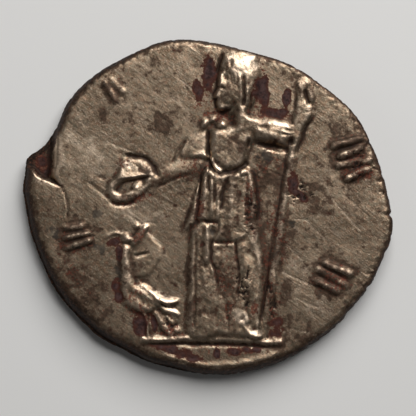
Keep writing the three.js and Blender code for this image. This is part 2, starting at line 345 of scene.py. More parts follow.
VEIL_FURROWS = (
    (((0.68, 7.85), (0.5, 7.2), (0.36, 6.75)), 0.12, -0.14),
    (((1.62, 6.7), (1.74, 6.3), (1.74, 5.8), (1.68, 5.0)), 0.12, -0.14),
    (((2.1, 5.8), (2.08, 4.95)), 0.11, -0.1),
)
VEIL_CURLS = 5


def strike_head(face):
    face.area(NECK, 0.26, edge=0.35)
    face.area(VEIL, 0.22, edge=0.6)
    face.mound((1.5, 6.3), (1.12, 1.75), 0.42, turn=-6, power=0.95)
    face.area(PROFILE, 0.26, edge=0.16)
    face.mound((0.86, 5.75), (0.5, 0.85), 0.34, power=0.8)
    face.folds(FEATURES)
    for i in range(HAIR_LOCKS):
        face.fold(((0.56 + 0.2 * i, 6.95 - 0.03 * i), (0.9 + 0.14 * i, 6.4 - 0.14 * i)), 0.08, -0.06)
    face.dent((1.07, 7.27), (0.12, 0.28), 0.1)
    face.folds(VEIL_FURROWS)
    for i in range(VEIL_CURLS):
        face.fold(((1.91, 6.03 - 0.2 * i), (1.91, 5.9 - 0.2 * i)), 0.1, 0.06)


# Body and dress

CHEST = ((-0.02, 3.85), (0.35, 4.1), (0.95, 4.2), (1.55, 4.4), (2.6, 4.4), (2.4, 3.6), (2.1, 2.85),
         (1.9, 2.25), (1.55, 1.82), (0.95, 1.7), (0.45, 1.85), (0.08, 2.25), (-0.07, 2.9))
BODY_FURROWS = (
    (((0.0, 2.3), (0.35, 1.75), (0.8, 1.64)), 0.12, -0.1),
    (((1.1, 1.68), (1.6, 1.9), (1.9, 2.4)), 0.16, -0.12),
    (((-0.06, 4.0), (-0.08, 3.0), (-0.04, 2.2)), (0.1, 0.16), -0.14),
    (((1.98, 3.5), (1.97, 3.0)), 0.13, -0.12),
)


def strike_body(face):
    face.area(CHEST, 0.24, edge=0.45)
    face.mound((0.66, 4.14), (0.36, 0.3), 0.28, turn=-20, power=1.0)
    face.mound((0.15, 4.42), (0.24, 0.17), 0.12, turn=30, power=1.0)
    face.mound((-0.22, 4.25), (0.26, 0.2), 0.14, turn=60, power=1.0)
    face.fold(((0.5, 4.85), (1.05, 4.6), (1.3, 4.15)), 0.28, -0.16)
    face.bar(((0.1, 2.45), (0.27, 2.08), (0.62, 1.84)), 0.15, 0.24, power=0.9)
    face.folds(BODY_FURROWS)


SKIRT = ((-0.7, -0.75), (-1.06, -1.7), (-1.16, -4.2), (-1.12, -6.62), (0.6, -6.66), (2.6, -6.62),
         (2.72, -5.2), (2.82, -3.6), (2.7, -1.9), (2.3, -0.4), (0.8, 0.3))
SKIRT_CREASES = (
    (((-0.7, -1.2), (-0.73, -3.0), (-0.72, -6.4)), 0.07, -0.08),
    (((0.18, -1.5), (0.08, -2.1), (0.13, -2.7), (0.33, -3.3), (0.38, -4.3)), 0.07, -0.12),
    (((0.38, -4.3), (0.3, -5.4), (0.36, -6.4)), 0.07, -0.03),
    (((0.85, -4.9), (0.88, -5.5), (0.95, -6.3)), 0.08, -0.05),
    (((1.28, -1.0), (1.32, -2.2), (1.48, -3.1), (1.46, -4.0), (1.4, -4.6)), 0.08, -0.1),
    (((1.85, -4.9), (1.95, -5.6)), 0.08, -0.07),
)
SKIRT_RIDGES = (
    (((-0.1, -0.85), (-0.12, -1.9), (-0.2, -2.9)), 0.24, 0.1),
    (((-0.28, -3.0), (-0.25, -4.2)), 0.22, 0.03),
    (((0.65, -2.0), (0.75, -3.6)), 0.24, 0.03),
    (((1.6, -1.7), (1.85, -3.0), (1.95, -4.4)), 0.42, 0.06),
)
FOOT = ((1.19, -5.29), (1.54, -5.14), (1.84, -5.49), (2.25, -5.89), (2.65, -6.35), (2.65, -6.6), (2.05, -6.6),
        (1.64, -6.1), (1.34, -5.69))
FOOT_FOLDS = 3


def strike_skirt(face):
    face.area(SKIRT, 0.2, edge=0.38)
    face.folds(SKIRT_RIDGES + SKIRT_CREASES)
    face.slope(FOOT, (2.25, -5.39), (1.69, -6.2), 0.3)
    for i in range(FOOT_FOLDS):
        face.fold(((1.45 + 0.3 * i, -5.75 - 0.25 * i), (1.75 + 0.3 * i, -5.5 - 0.3 * i)), 0.1, -0.06)


OVERFOLD = ((-0.32, 1.95), (0.9, 1.75), (1.75, 2.0), (2.15, 1.75), (2.4, 0.9), (2.4, -0.3), (2.05, -1.3),
            (1.3, -1.75), (0.2, -1.78), (0.42, -0.85), (-0.2, -0.7), (-0.7, -0.62), (-0.52, 0.6))
HANGING = ((-0.42, 1.7), (-0.66, 0.85), (-0.93, 0.0), (-1.22, -0.9), (-1.48, -1.64), (-1.36, -1.36),
           (-0.98, -1.02), (-0.7, -0.75), (-0.56, 0.5), (-0.4, 1.5))
GATHERS = (
    ((-0.13, 1.8), (0.11, 0.32), 0.34),
    ((0.19, 1.57), (0.18, 0.28), 0.36),
    ((1.28, 1.55), (0.24, 0.18), 0.35),
    ((1.66, 1.65), (0.1, 0.22), 0.35),
)
OVERFOLD_RIDGES = (
    (((-0.18, 1.7), (-0.25, 0.6), (-0.35, -0.5)), 0.15, 0.07),
    (((0.14, 1.5), (0.1, 0.5), (0.08, -0.5)), 0.15, 0.08),
    (((0.42, 1.2), (0.42, 0.2), (0.36, -0.6)), 0.14, 0.06),
    (((1.25, 1.4), (1.1, 0.4), (1.0, -1.5)), 0.3, 0.05),
)
OVERFOLD_CREASES = (
    (((-0.03, 1.6), (-0.06, 0.8)), 0.07, -0.08),
    (((0.28, 1.2), (0.26, 0.2)), 0.07, -0.06),
    (((0.98, 1.55), (0.78, 1.0), (0.62, 0.5), (0.54, -0.2)), 0.09, -0.13),
    (((1.9, 1.9), (1.88, 0.6), (1.9, -1.2)), 0.09, -0.11),
    (((2.38, 0.9), (2.4, 0.0)), 0.08, -0.07),
    (((-0.4, 1.6), (-0.55, 0.4), (-0.7, -0.7)), 0.09, -0.13),
    (((-0.3, -0.68), (0.1, -0.73), (0.5, -0.78)), 0.09, -0.12),
    (((0.2, -1.74), (1.2, -1.74)), 0.08, -0.1),
)


def strike_overfold(face):
    face.area(HANGING, 0.15, edge=0.14)
    face.area(OVERFOLD, 0.25, edge=0.14)
    for centre, halves, height in GATHERS:
        face.mound(centre, halves, height)
    face.folds(OVERFOLD_RIDGES + OVERFOLD_CREASES)
    face.fold(((-0.6, 1.2), (-1.0, 0.0), (-1.5, -1.55)), 0.08, -0.04)
    face.dent((0.1, -1.15), (0.28, 0.4), 0.08)
    face.bar(((0.2, -1.93), (0.7, -1.91), (1.2, -1.88)), 0.09, 0.25)


# Arms and what they hold

SLEEVE = ((-0.12, 3.85), (-0.6, 3.72), (-0.98, 3.55), (-1.14, 3.2), (-1.44, 2.55), (-0.9, 2.5), (-0.1, 2.55))
RAISED = ((4.1, 2.9), (4.05, 3.7), (4.12, 4.5), (4.4, 5.2), (4.75, 5.5), (5.2, 5.25), (5.3, 4.6), (4.9, 4.1),
          (4.6, 3.4), (4.4, 2.7))
ARM_FOLDS = (
    (((2.3, 4.02), (3.2, 4.05), (4.2, 3.8)), 0.09, -0.09),
    (((2.9, 3.85), (3.5, 3.75), (4.1, 3.62)), 0.08, -0.06),
    (((2.6, 3.7), (3.3, 3.5), (3.95, 3.0)), 0.13, 0.05),
)


def strike_arms(face):
    face.area(SLEEVE, 0.07, edge=0.4)
    face.bar(((-0.95, 2.62), (-0.45, 2.68), (-0.15, 2.56)), (0.1, 0.2), (0.08, 0.26), power=0.9)
    face.fold(((-1.1, 3.4), (-1.4, 2.6)), 0.12, 0.05)
    face.bar(((-0.48, 2.15), (-1.7, 1.75), (-2.8, 1.35)), (0.48, 0.36), 0.065, power=0.6)
    face.fold(((-0.7, 1.8), (-1.7, 1.45), (-2.7, 1.02)), 0.1, -0.05)
    face.fold(((-1.1, 3.55), (-1.5, 2.9), (-1.95, 2.1)), 0.09, -0.05)
    face.area(RAISED, 0.12, edge=0.25)
    face.fold(((5.3, 4.65), (4.9, 4.12), (4.62, 3.4), (4.36, 2.6)), 0.12, -0.07)
    face.mound((5.05, 5.58), (0.3, 0.45), 0.12, power=1.0)
    face.fold(((4.78, 5.95), (4.88, 5.5), (5.05, 5.15)), 0.15, -0.12)
    face.mound((3.15, 3.82), (1.35, 0.75), 0.38, turn=-8, power=0.8)
    face.folds(ARM_FOLDS)
    face.dent((3.2, 3.08), (1.0, 0.32), 0.2, turn=-14)
    face.dent((4.12, 3.32), (0.2, 0.26), 0.16)


SCEPTRE = ((4.68, 6.2), (2.68, -6.55))


def strike_sceptre(face):
    face.bar(SCEPTRE, 0.24, 0.09, power=0.6)
    face.fold([(x - 0.22, y) for x, y in SCEPTRE], 0.09, -0.1)
    face.mound((4.85, 6.3), (0.25, 0.3), 0.08, power=1.0)


DISH = ((-5.18, 0.92), (-4.97, 1.38), (-4.52, 1.63), (-3.81, 1.73), (-3.16, 1.73), (-2.8, 1.58),
        (-3.06, 1.03), (-3.46, 0.57), (-4.01, 0.32), (-4.62, 0.27), (-5.02, 0.52))
DISH_HOLLOW = ((-4.87, 0.82), (-4.62, 1.18), (-4.12, 1.38), (-3.51, 1.48), (-2.95, 1.58), (-3.21, 1.23),
               (-3.46, 0.92), (-4.01, 0.77), (-4.52, 0.67))
BOWL = ((-4.75, 1.35), (-4.55, 1.9), (-4.45, 2.3), (-4.0, 2.5), (-3.46, 2.4), (-2.95, 2.04), (-2.65, 1.58),
        (-2.95, 1.45), (-3.5, 1.4), (-4.1, 1.33))
LOAF = ((-3.85, 0.88), (-3.72, 1.2), (-3.42, 1.25), (-3.3, 1.05), (-3.5, 0.85))
DISH_FOLDS = (
    (((-4.7, 1.3), (-4.1, 1.5), (-3.5, 1.57), (-3.0, 1.6)), 0.08, 0.02),
    (((-6.15, 1.25), (-5.5, 0.75), (-5.1, 0.4)), 0.09, -0.04),
    (((-5.65, 1.6), (-5.2, 1.42)), 0.12, -0.04),
    (((-4.3, 2.6), (-3.9, 2.6), (-3.35, 2.46), (-2.85, 2.1), (-2.55, 1.5)), 0.15, -0.12),
    (((-5.1, 0.3), (-4.4, 0.1), (-3.7, 0.3)), 0.15, -0.06),
)


def strike_dish(face):
    face.area(DISH, 0.11, edge=0.1)
    face.slope(BOWL, (-3.35, 2.6), (-3.75, 1.4), 0.17, edge=0.2)
    face.hollow(DISH_HOLLOW, -0.03, edge=0.1)
    face.slope(LOAF, (-3.35, 1.25), (-3.75, 0.9), 0.14)
    for x in (-4.2, -3.9, -3.5):
        face.fold(((x - 0.2, 2.2), (x + 0.1, 1.7)), 0.12, -0.04)
    face.folds(DISH_FOLDS)


# The bird and the ground it stands on

BIRD = ((-4.47, -1.95), (-3.96, -1.95), (-3.96, -2.56), (-3.86, -3.17), (-3.71, -3.77), (-3.26, -4.08),
        (-2.7, -4.48), (-2.35, -4.88), (-2.6, -5.19), (-3.11, -5.39), (-3.66, -5.34), (-4.12, -5.14),
        (-4.37, -4.83), (-4.47, -4.18), (-4.52, -3.17))
WING = ((-3.56, -3.83), (-3.2, -3.9), (-2.7, -4.26), (-2.27, -4.5), (-1.77, -4.57), (-1.52, -4.72),
        (-1.7, -4.9), (-2.13, -4.97), (-2.56, -4.85), (-2.8, -4.65), (-3.13, -4.36), (-3.56, -4.08))
FEATHER = ((-2.5, -4.83), (-1.99, -5.03), (-1.49, -5.39), (-1.59, -5.54), (-2.1, -5.39), (-2.55, -5.14))
FLAKE = ((-3.91, -1.95), (-3.11, -1.25), (-2.7, -1.8), (-2.4, -2.11), (-2.45, -2.56), (-2.75, -3.01),
         (-3.0, -3.47), (-3.36, -3.57), (-3.81, -3.52), (-3.96, -2.76))
BREAST_FEATHERS = 7
LEGS = (((-3.31, -5.34), (-3.21, -5.79), (-3.11, -6.45)), ((-2.7, -5.34), (-2.35, -5.89), (-1.99, -6.4)))


def strike_bird(face):
    face.area(FLAKE, 0.045, edge=0.06, rounded=False)
    face.fold(((-3.78, -2.5), (-3.45, -2.42), (-3.1, -2.28)), 0.1, -0.07)
    face.area(BIRD, 0.16, edge=0.28)
    for i in range(BREAST_FEATHERS):
        start = (-4.2 + 0.22 * i, -4.0 - 0.12 * i)
        face.fold((start, (start[0] + 0.35, start[1] - 0.6)), 0.09, -0.035)
    face.slope(WING, (-2.3, -4.1), (-2.55, -4.75), 0.24, edge=0.14)
    face.slope(FEATHER, (-1.85, -4.95), (-2.1, -5.5), 0.17, edge=0.14)
    face.mound((-4.16, -1.6), (0.36, 0.27), 0.18, turn=-25, power=0.9)
    face.bar(((-4.3, -1.38), (-4.7, -1.32), (-5.2, -1.5)), (0.1, 0.07), (0.07, 0.03), power=0.9)
    face.bar(((-3.85, -1.85), (-3.28, -1.12)), 0.19, (0.12, 0.16), power=0.7)
    face.mound((-3.66, -0.94), (0.17, 0.13), 0.12, turn=40, power=1.0)
    face.mound((-3.26, -1.05), (0.22, 0.14), 0.15, turn=30, power=1.0)
    for leg, width in zip(LEGS, (0.12, 0.2)):
        face.bar(leg, width, 0.12, power=0.9)
    face.mound((-1.7, -6.2), (0.3, 0.2), 0.1, turn=-30, power=1.0)
    face.fold(((-2.25, -5.5), (-2.0, -5.75), (-1.85, -5.95)), 0.11, 0.06)


def strike_ground(face):
    face.bar(((-3.4, -6.66), (0.2, -6.64), (3.66, -6.8)), 0.2, 0.13, power=1.0)
    face.fold(((-3.3, -6.92), (0.2, -6.9), (3.4, -7.02)), 0.16, -0.06)


# The low border that is left along the lower rim
BORDER_FROM_DEG = 250
BORDER_TO_DEG = 300
BORDER_SHARE = 0.94
BORDER_POINTS = 12


def strike_border(face):
    deg = np.linspace(BORDER_FROM_DEG, BORDER_TO_DEG, BORDER_POINTS)
    route = np.stack(polar(flan_radius(deg) * BORDER_SHARE, deg), axis=1)
    face.fold(route, 0.32, 0.06)


# Rows of strokes in the border

def strike_strokes(face, centre, count, pitch, length, width, height):
    """A row of strokes, each a little shorter, longer, lower, higher or more slanting than the next."""
    outward = math.atan2(centre[1], centre[0])
    for i in range(count):
        shift = (i - (count - 1) / 2) * pitch
        x, y = centre[0] - math.sin(outward) * shift, centre[1] + math.cos(outward) * shift
        slant = outward + 0.12 * math.sin(3.7 * i + centre[0])
        half = length / 2 * (1 - 0.25 * math.cos(2.4 * i + centre[0]))
        tall = height * (1 + 0.35 * math.sin(2.1 * i + centre[1]))
        step_x, step_y = half * math.cos(slant), half * math.sin(slant)
        face.bar(((x - step_x, y - step_y), (x + step_x, y + step_y)), width, (tall, tall * 0.7), power=0.45)


def strike_upper_strokes(face):
    strike_strokes(face, (-4.85, 6.0), 2, 0.46, 0.8, 0.15, 0.06)
    strike_strokes(face, (-6.75, -1.45), 3, 0.44, 1.05, 0.17, 0.16)
    strike_strokes(face, (7.2, 2.5), 4, 0.56, 1.25, 0.2, 0.17)
    strike_strokes(face, (6.2, -3.55), 3, 0.52, 1.35, 0.2, 0.16)


# The underside, drawn as it looks when the coin is turned over, top to bottom

BUST_WAVES = 4
BUST_PLEATS = 5


def strike_bust(face):
    face.mound((-0.45, 1.25), (1.95, 1.85), 0.27)
    face.mound((0.6, 0.2), (1.5, 2.1), 0.29, turn=-8)
    face.bar(((1.75, 1.0), (2.25, 0.1)), 0.28, 0.16)
    face.mound((1.85, -0.5), (0.32, 0.3), 0.16)
    face.mound((1.4, -1.35), (0.55, 0.45), 0.24)
    face.mound((-2.45, 0.2), (0.9, 0.8), 0.25)
    for i in range(BUST_WAVES):
        brow = (1.55 - 0.4 * i, 1.5 + 0.42 * i)
        crown = (-0.1 - 0.3 * i, 1.35 + 0.44 * i)
        nape = (-2.0 - 0.1 * i, 0.35 + 0.4 * i)
        face.fold((brow, crown, nape), 0.22, 0.06)
    face.bar(((0.0, -0.9), (-0.4, -4.0)), 0.95, 0.24)
    face.mound((-0.4, -5.1), (3.1, 1.5), 0.24)
    for i in range(BUST_PLEATS):
        face.fold(((-1.5 + 0.6 * i, -4.1), (-2.7 + 1.15 * i, -5.9)), 0.2, 0.06)


UNDER_STROKES_RADIUS = 6.2
UNDER_STROKES_DEG = np.linspace(-42, 222, 20)


def strike_under_strokes(face):
    for deg in UNDER_STROKES_DEG:
        strike_strokes(face, polar(UNDER_STROKES_RADIUS, deg), 1, 0, 1.0, 0.11, 0.14)


# Breaks and wear

SHELF_Z = 0.84
SHELF_WALL = ((-7.65, 4.2), (-7.7, 2.9), (-7.75, 2.1), (-7.8, 1.6), (-7.65, 1.27), (-7.45, 0.97))
SHELF_WALL_WIDTH = 0.42
FRACTURE = ((-7.45, 0.97), (-7.75, 1.08), (-8.05, 1.28), (-8.36, 1.43), (-8.71, 1.58), (-9.0, 1.85),
            (-9.9, 2.3))
FRACTURE_WIDTH = 0.16
# A corner beyond the outline that closes the shelf's area
SHELF_CORNER = (-9.9, 4.2)


def break_shelf(face):
    """Drops the broken shelf at the left edge below the field, between the rim's wall and the fracture."""
    wall, fracture = np.array(SHELF_WALL), np.array(FRACTURE)
    outline = np.vstack([wall, fracture[1:], [SHELF_CORNER]])
    picked = face.near(outline, 0.1)
    from_wall = face.distance(picked, wall)[0] / SHELF_WALL_WIDTH
    from_fracture = face.distance(picked, fracture)[0] / FRACTURE_WIDTH
    share = np.clip(np.minimum(from_wall, from_fracture), 0, 1) * (face.inside(picked, outline) > 0)
    level = face.ground[picked] + face.z[picked]
    face.z[picked] = level + (np.minimum(level, SHELF_Z) - level) * share - face.ground[picked]
    face.fold(((-7.45, 0.95), (-7.2, 0.3), (-7.15, -0.7)), 0.07, -0.05)


# Above this height the relief is rubbed down by a share
RUBBED_FROM = 0.28
RUBBED_SHARE = 0.3
# How far outlines waver and the share by which heights differ, each with its size across the face
WAVER = 0.07
WAVER_SIZE = 0.7
UNEVEN = 0.14
UNEVEN_SIZE = 0.8
# The cells over which edges are worn soft
SOFTENED = 1
# How granular the struck metal is, next to the smoother field
GRANULAR = 0.012
GRANULE_SIZE = 0.17
# How the field heaves, and how rough it is
HEAVE = 0.02
HEAVE_SIZE = 2.0
ROUGH = 0.005
ROUGH_SIZE = 0.4

# Scratches and nicks: how many, and the spread of their sizes
SCRATCHES = 40
SCRATCH_TURN_DEG = -36
SCRATCH_LENGTH = (0.5, 2.6)
SCRATCH_WIDTH = 0.07
SCRATCH_DEPTH = (0.003, 0.01)
NICKS = 110
NICK_SIZE = (0.09, 0.28)
NICK_DEPTH = (0.004, 0.014)
# How widely both are spread about the middle
SCATTER = 4.5
SCRATCH_SWAY_DEG = 16
LONG_SCRATCHES = (
    ((3.66, -3.27), (5.18, -3.97)),
    ((4.12, -6.15), (5.38, -6.45)),
    ((4.62, -0.39), (5.83, -1.65)),
    ((-5.2, 3.3), (-3.4, 2.6)),
    ((6.2, 0.4), (7.6, -1.2)),
    ((4.3, -0.6), (5.0, -0.65)),
    ((3.9, -1.9), (4.7, -2.7)),
    ((-1.4, 6.4), (-0.5, 5.6)),
    ((-6.9, 3.9), (-6.3, 3.4)),
    ((4.4, -4.6), (5.5, -5.1)),
    ((-6.6, -3.1), (-5.9, -3.6)),
)

# Short cracks across the rim, where it is rough, and how uneven the rim is there
RIM_CRACKS = 40
RIM_CRACK_FROM_DEG = 255
RIM_CRACK_TO_DEG = 400
RIM_CRACK_INNER = (0.93, 0.985)
RIM_CRACK_OUTER = 1.02
RIM_CRACK_LEAN_DEG = 4
RIM_CRACK_WIDTH = (0.05, 0.13)
RIM_CRACK_DEPTH = (0.01, 0.04)
RIM_ROUGH_FROM = 0.9
RIM_ROUGH = 0.022
RIM_ROUGH_SIZE = 0.28
# Where the side begins, and the share of the radius by which it is pitted
SIDE_FROM = 0.94
SIDE_ROUGH = 0.008
SIDE_ROUGH_SIZE = 0.45
# The share of the grid over which both kinds of roughness set in
SETTING_IN = 0.03


def crack_rim(face):
    """Breaks up the rim with short cracks and small lumps."""
    chance = np.random.default_rng(9)
    for _ in range(RIM_CRACKS):
        deg = chance.uniform(RIM_CRACK_FROM_DEG, RIM_CRACK_TO_DEG)
        inner = chance.uniform(*RIM_CRACK_INNER)
        lean = chance.uniform(-RIM_CRACK_LEAN_DEG, RIM_CRACK_LEAN_DEG)
        spans = ((inner, deg), (RIM_CRACK_OUTER, deg + lean))
        ends = [polar(share * flan_radius(at), at) for share, at in spans]
        face.fold(ends, chance.uniform(*RIM_CRACK_WIDTH), -chance.uniform(*RIM_CRACK_DEPTH))
    outer = np.clip((face.rho - RIM_ROUGH_FROM) / SETTING_IN, 0, 1)
    face.z += RIM_ROUGH * outer * face.rough(RIM_ROUGH_SIZE, 14, 3)
    side = np.clip((face.rho - SIDE_FROM) / SETTING_IN, 0, 1)
    sunk = SIDE_ROUGH * side * np.abs(face.rough(SIDE_ROUGH_SIZE, 16, 4))
    face.x, face.y = face.x * (1 - sunk), face.y * (1 - sunk)


def scratch(face):
    """Scores the face with fine scratches, most of them running one way, and small nicks."""
    chance = np.random.default_rng(4)
    for route in LONG_SCRATCHES:
        face.fold(route, SCRATCH_WIDTH, -SCRATCH_DEPTH[1])
    for _ in range(SCRATCHES):
        x, y = chance.normal(0, SCATTER, 2)
        turn = math.radians(chance.normal(SCRATCH_TURN_DEG, SCRATCH_SWAY_DEG))
        half = chance.uniform(*SCRATCH_LENGTH) / 2
        step_x, step_y = half * math.cos(turn), half * math.sin(turn)
        route = ((x - step_x, y - step_y), (x + step_x, y + step_y))
        face.fold(route, SCRATCH_WIDTH, -chance.uniform(*SCRATCH_DEPTH))
    for _ in range(NICKS):
        halves = chance.uniform(*NICK_SIZE, 2)
        place = chance.normal(0, SCATTER, 2)
        face.dent(place, halves, chance.uniform(*NICK_DEPTH), chance.uniform(0, 180))


def upper_face():
    face = Face(UPPER_CELLS, UPPER_SECTION)
    straight_x, straight_y = face.x, face.y
    waver_x, waver_y = face.rough(WAVER_SIZE, 11), face.rough(WAVER_SIZE, 12)
    uneven = 1 + UNEVEN * face.rough(UNEVEN_SIZE, 13)
    face.x = straight_x + WAVER * waver_x
    face.y = straight_y + WAVER * waver_y
    for strike in (strike_skirt, strike_sceptre, strike_overfold, strike_arms, strike_body, strike_head):
        strike(face)
    for strike in (strike_dish, strike_bird, strike_ground, strike_border, strike_upper_strokes):
        strike(face)
    face.z -= np.maximum(face.z - RUBBED_FROM, 0) * RUBBED_SHARE
    face.z = face.blurred(face.z * uneven, SOFTENED)
    break_shelf(face)
    face.x, face.y = straight_x, straight_y
    face.z += GRANULAR * np.clip(face.z / 0.1, 0.2, 1) * face.rough(GRANULE_SIZE, 15, 2)
    face.z += HEAVE * face.rough(HEAVE_SIZE, 1, 3) + ROUGH * face.rough(ROUGH_SIZE, 2, 4)
    scratch(face)
    crack_rim(face)
    return face


def under_face():
    face = Face(UNDER_CELLS, UNDER_SECTION, turned_over=True)
    strike_bust(face)
    strike_under_strokes(face)
    return face


# Patina: ovals as centre, half-widths and, where they lean, the turn in degrees

PURPLE = (
    ((0.0, 6.78), (0.36, 0.75), 4),
    ((-0.58, 5.87), (0.22, 0.5), 10),
    ((2.72, 5.97), (0.36, 0.9)),
    ((2.35, 5.55), (0.28, 0.45)),
    ((3.4, 4.76), (0.75, 0.25), -5),
    ((3.91, 5.57), (0.18, 0.45), -8),
    ((-1.75, -7.2), (0.85, 0.2), -8),
    ((-0.95, -7.55), (0.5, 0.2), -8),
    ((0.38, -7.36), (0.13, 0.28), 5),
    ((1.2, -7.3), (0.34, 0.18)),
    ((2.15, -7.2), (0.45, 0.14)),
    ((-8.5, 2.3), (0.22, 0.3), 20),
    ((-8.25, 1.75), (0.2, 0.2)),
    ((3.31, -6.1), (0.35, 0.5)),
    ((4.22, 1.23), (0.24, 0.5)),
    ((4.55, 0.6), (0.5, 0.18), -35),
    ((-3.51, -5.94), (0.38, 0.5)),
    ((-2.8, -5.89), (0.15, 0.4), 10),
    ((-4.72, -3.87), (0.2, 0.32)),
    ((-4.6, -4.53), (0.2, 0.32)),
    ((-4.85, -1.75), (0.36, 0.2), 15),
    ((-4.55, -2.26), (0.17, 0.35)),
)
RED = (
    ((-0.47, -0.04), (0.18, 0.75), -8),
    ((-8.5, 2.14), (0.4, 0.45)),
    ((-3.55, -1.45), (0.45, 0.17), 50),
    ((2.25, -5.09), (0.2, 0.34)),
    ((8.1, 1.68), (0.2, 0.26)),
)
# Where red specks are scattered
SPECKLED = (
    ((0.3, 4.55), (0.85, 0.35), -15),
    ((-3.9, 0.4), (1.1, 0.3), 12),
    ((-4.35, 2.2), (0.35, 0.25), -30),
    ((-1.0, 1.9), (0.6, 0.5)),
    ((-1.9, -6.1), (0.6, 0.45)),
    ((2.9, 2.3), (0.7, 0.6)),
    ((3.4, -1.2), (0.5, 1.3), 10),
    ((3.1, -4.2), (0.4, 2.0), 8),
    ((0.85, -4.0), (0.5, 2.0)),
    ((2.1, 0.2), (0.4, 1.4)),
    ((-7.1, -2.8), (0.6, 1.4), 20),
    ((7.5, 2.0), (0.6, 0.7), 20),
    ((6.3, -3.7), (0.7, 0.6), -30),
    ((-0.5, 5.6), (0.5, 0.6), 10),
    ((3.0, 5.0), (0.9, 0.5), -10),
    ((1.0, -7.2), (1.6, 0.25)),
    ((-3.6, -4.7), (0.8, 0.7), -20),
)
# Where the toning is rubbed off to bright metal
BARE = (
    ((1.75, 7.3), (0.75, 0.7)),
    ((3.7, 4.15), (0.4, 0.14), -8),
    ((-4.1, 2.1), (0.25, 0.16), -15),
    ((-2.6, -4.4), (0.9, 0.26), -24),
    ((-2.0, -5.2), (0.5, 0.2), -30),
    ((1.6, -5.55), (0.45, 0.3), -45),
    ((2.2, -6.35), (0.4, 0.25)),
    ((-0.35, 2.67), (0.28, 0.16)),
    ((0.3, 2.0), (0.3, 0.2), -40),
    ((-3.3, -1.0), (0.2, 0.14)),
    ((-3.7, 1.1), (0.16, 0.14)),
    ((0.6, 4.15), (0.25, 0.2)),
)
# Where the field is rubbed a little brighter
POLISHED = (
    ((5.2, -4.9), (1.5, 0.8), -35),
    ((-6.2, 2.6), (1.6, 2.2), 20),
    ((-3.8, -0.3), (2.0, 0.6), -10),
    ((4.6, -3.0), (0.9, 0.5), -35),
)
BROWN = (
    ((4.15, -1.3), (0.65, 0.85), 10),
    ((3.5, -2.6), (0.4, 0.9)),
    ((3.75, -4.1), (0.45, 0.8), 10),
    ((4.5, -6.0), (0.75, 0.7), 20),
    ((-2.4, 4.15), (0.6, 0.7), -20),
    ((-1.6, 1.75), (1.1, 0.3), 18),
    ((-4.2, 0.4), (0.9, 0.22), 12),
    ((-0.75, 1.75), (0.45, 0.4)),
    ((-3.4, 2.0), (0.45, 0.25), -30),
    ((2.15, -0.3), (0.3, 1.4)),
    ((1.1, -4.6), (0.35, 1.1)),
    ((0.85, -1.2), (0.4, 0.45)),
    ((0.75, -3.6), (0.35, 0.5)),
    ((-5.45, 4.8), (0.3, 0.4)),
    ((6.5, 3.8), (0.5, 0.5)),
    ((7.2, 2.5), (1.0, 1.4), 20),
    ((6.2, -3.6), (1.0, 1.1), -30),
    ((-6.8, -1.4), (0.8, 0.9), 15),
    ((-4.9, 5.9), (0.7, 0.6), 40),
    ((3.2, 1.4), (0.8, 1.2), 10),
    ((3.0, -3.6), (0.3, 2.4), 8),
    ((5.2, 0.6), (0.9, 0.7), -30),
    ((-6.2, -4.2), (0.7, 1.6), 40),
    ((2.75, 2.4), (0.55, 0.4), -15),
    ((-5.0, -5.2), (0.5, 0.6), 30),
)
# Where the figure is darkened with painted shade: torso, overfold, face and the shaded left side of the skirt
FIGURE_SHADE = (
    ((0.95, 3.0), (1.0, 1.2)),
    ((-0.95, -4.2), (0.25, 2.4)),
    ((0.85, 0.3), (0.5, 1.3)),
    ((1.0, 5.6), (0.5, 0.9)),
)
# Dark grey toning
SLATE = (
    ((2.75, 2.5), (0.6, 0.4), -15),
    ((4.17, -0.84), (0.32, 0.26)),
    ((0.08, -1.2), (0.24, 0.34)),
    ((-1.9, -7.1), (0.7, 0.16), -6),
    ((-5.68, -0.34), (0.26, 0.2), 30),
    ((-7.9, -1.25), (0.3, 0.34)),
    ((-6.74, -1.95), (0.24, 0.16)),
    ((-4.72, -3.6), (0.3, 0.55)),
    ((-5.5, -2.05), (0.3, 0.3)),
    ((-4.3, 0.95), (0.42, 0.2), 18),
    ((-3.7, -5.9), (0.4, 0.4)),
)
# Where the metal is eaten by small black pits
PITTED = (
    ((1.75, -3.9), (0.6, 1.9)),
    ((2.05, -0.4), (0.5, 1.7)),
    ((4.6, 0.7), (0.9, 0.8)),
    ((3.1, -4.6), (0.35, 1.6), 8),
    ((-2.0, -5.9), (0.6, 0.5)),
    ((7.6, 2.3), (0.7, 0.9)),
)
PIT_LEVEL = 1.2
PIT_SOFTNESS = 0.25
PIT_DEPTH = 0.05


def soft_ovals(face, ovals):
    """1 inside the ovals, falling off round their edges."""
    everywhere = np.nonzero(face.rho >= 0)
    made = np.zeros(face.rho.size)
    for oval in ovals:
        made = np.maximum(made, np.exp(-0.7 * face.oval(everywhere, *oval) ** 3))
    return made.reshape(face.rho.shape)


# How bright the long scratches are, and how wide
SCORED = 0.75
SCORED_WIDTH = 0.05


def scored(face):
    """Values along the long scratches, which show bright metal."""
    everywhere = np.nonzero(face.rho >= 0)
    gaps = [face.distance(everywhere, np.array(route))[0] for route in LONG_SCRATCHES]
    return SCORED * np.exp(-((np.min(gaps, axis=0) / SCORED_WIDTH) ** 2)).reshape(face.rho.shape)


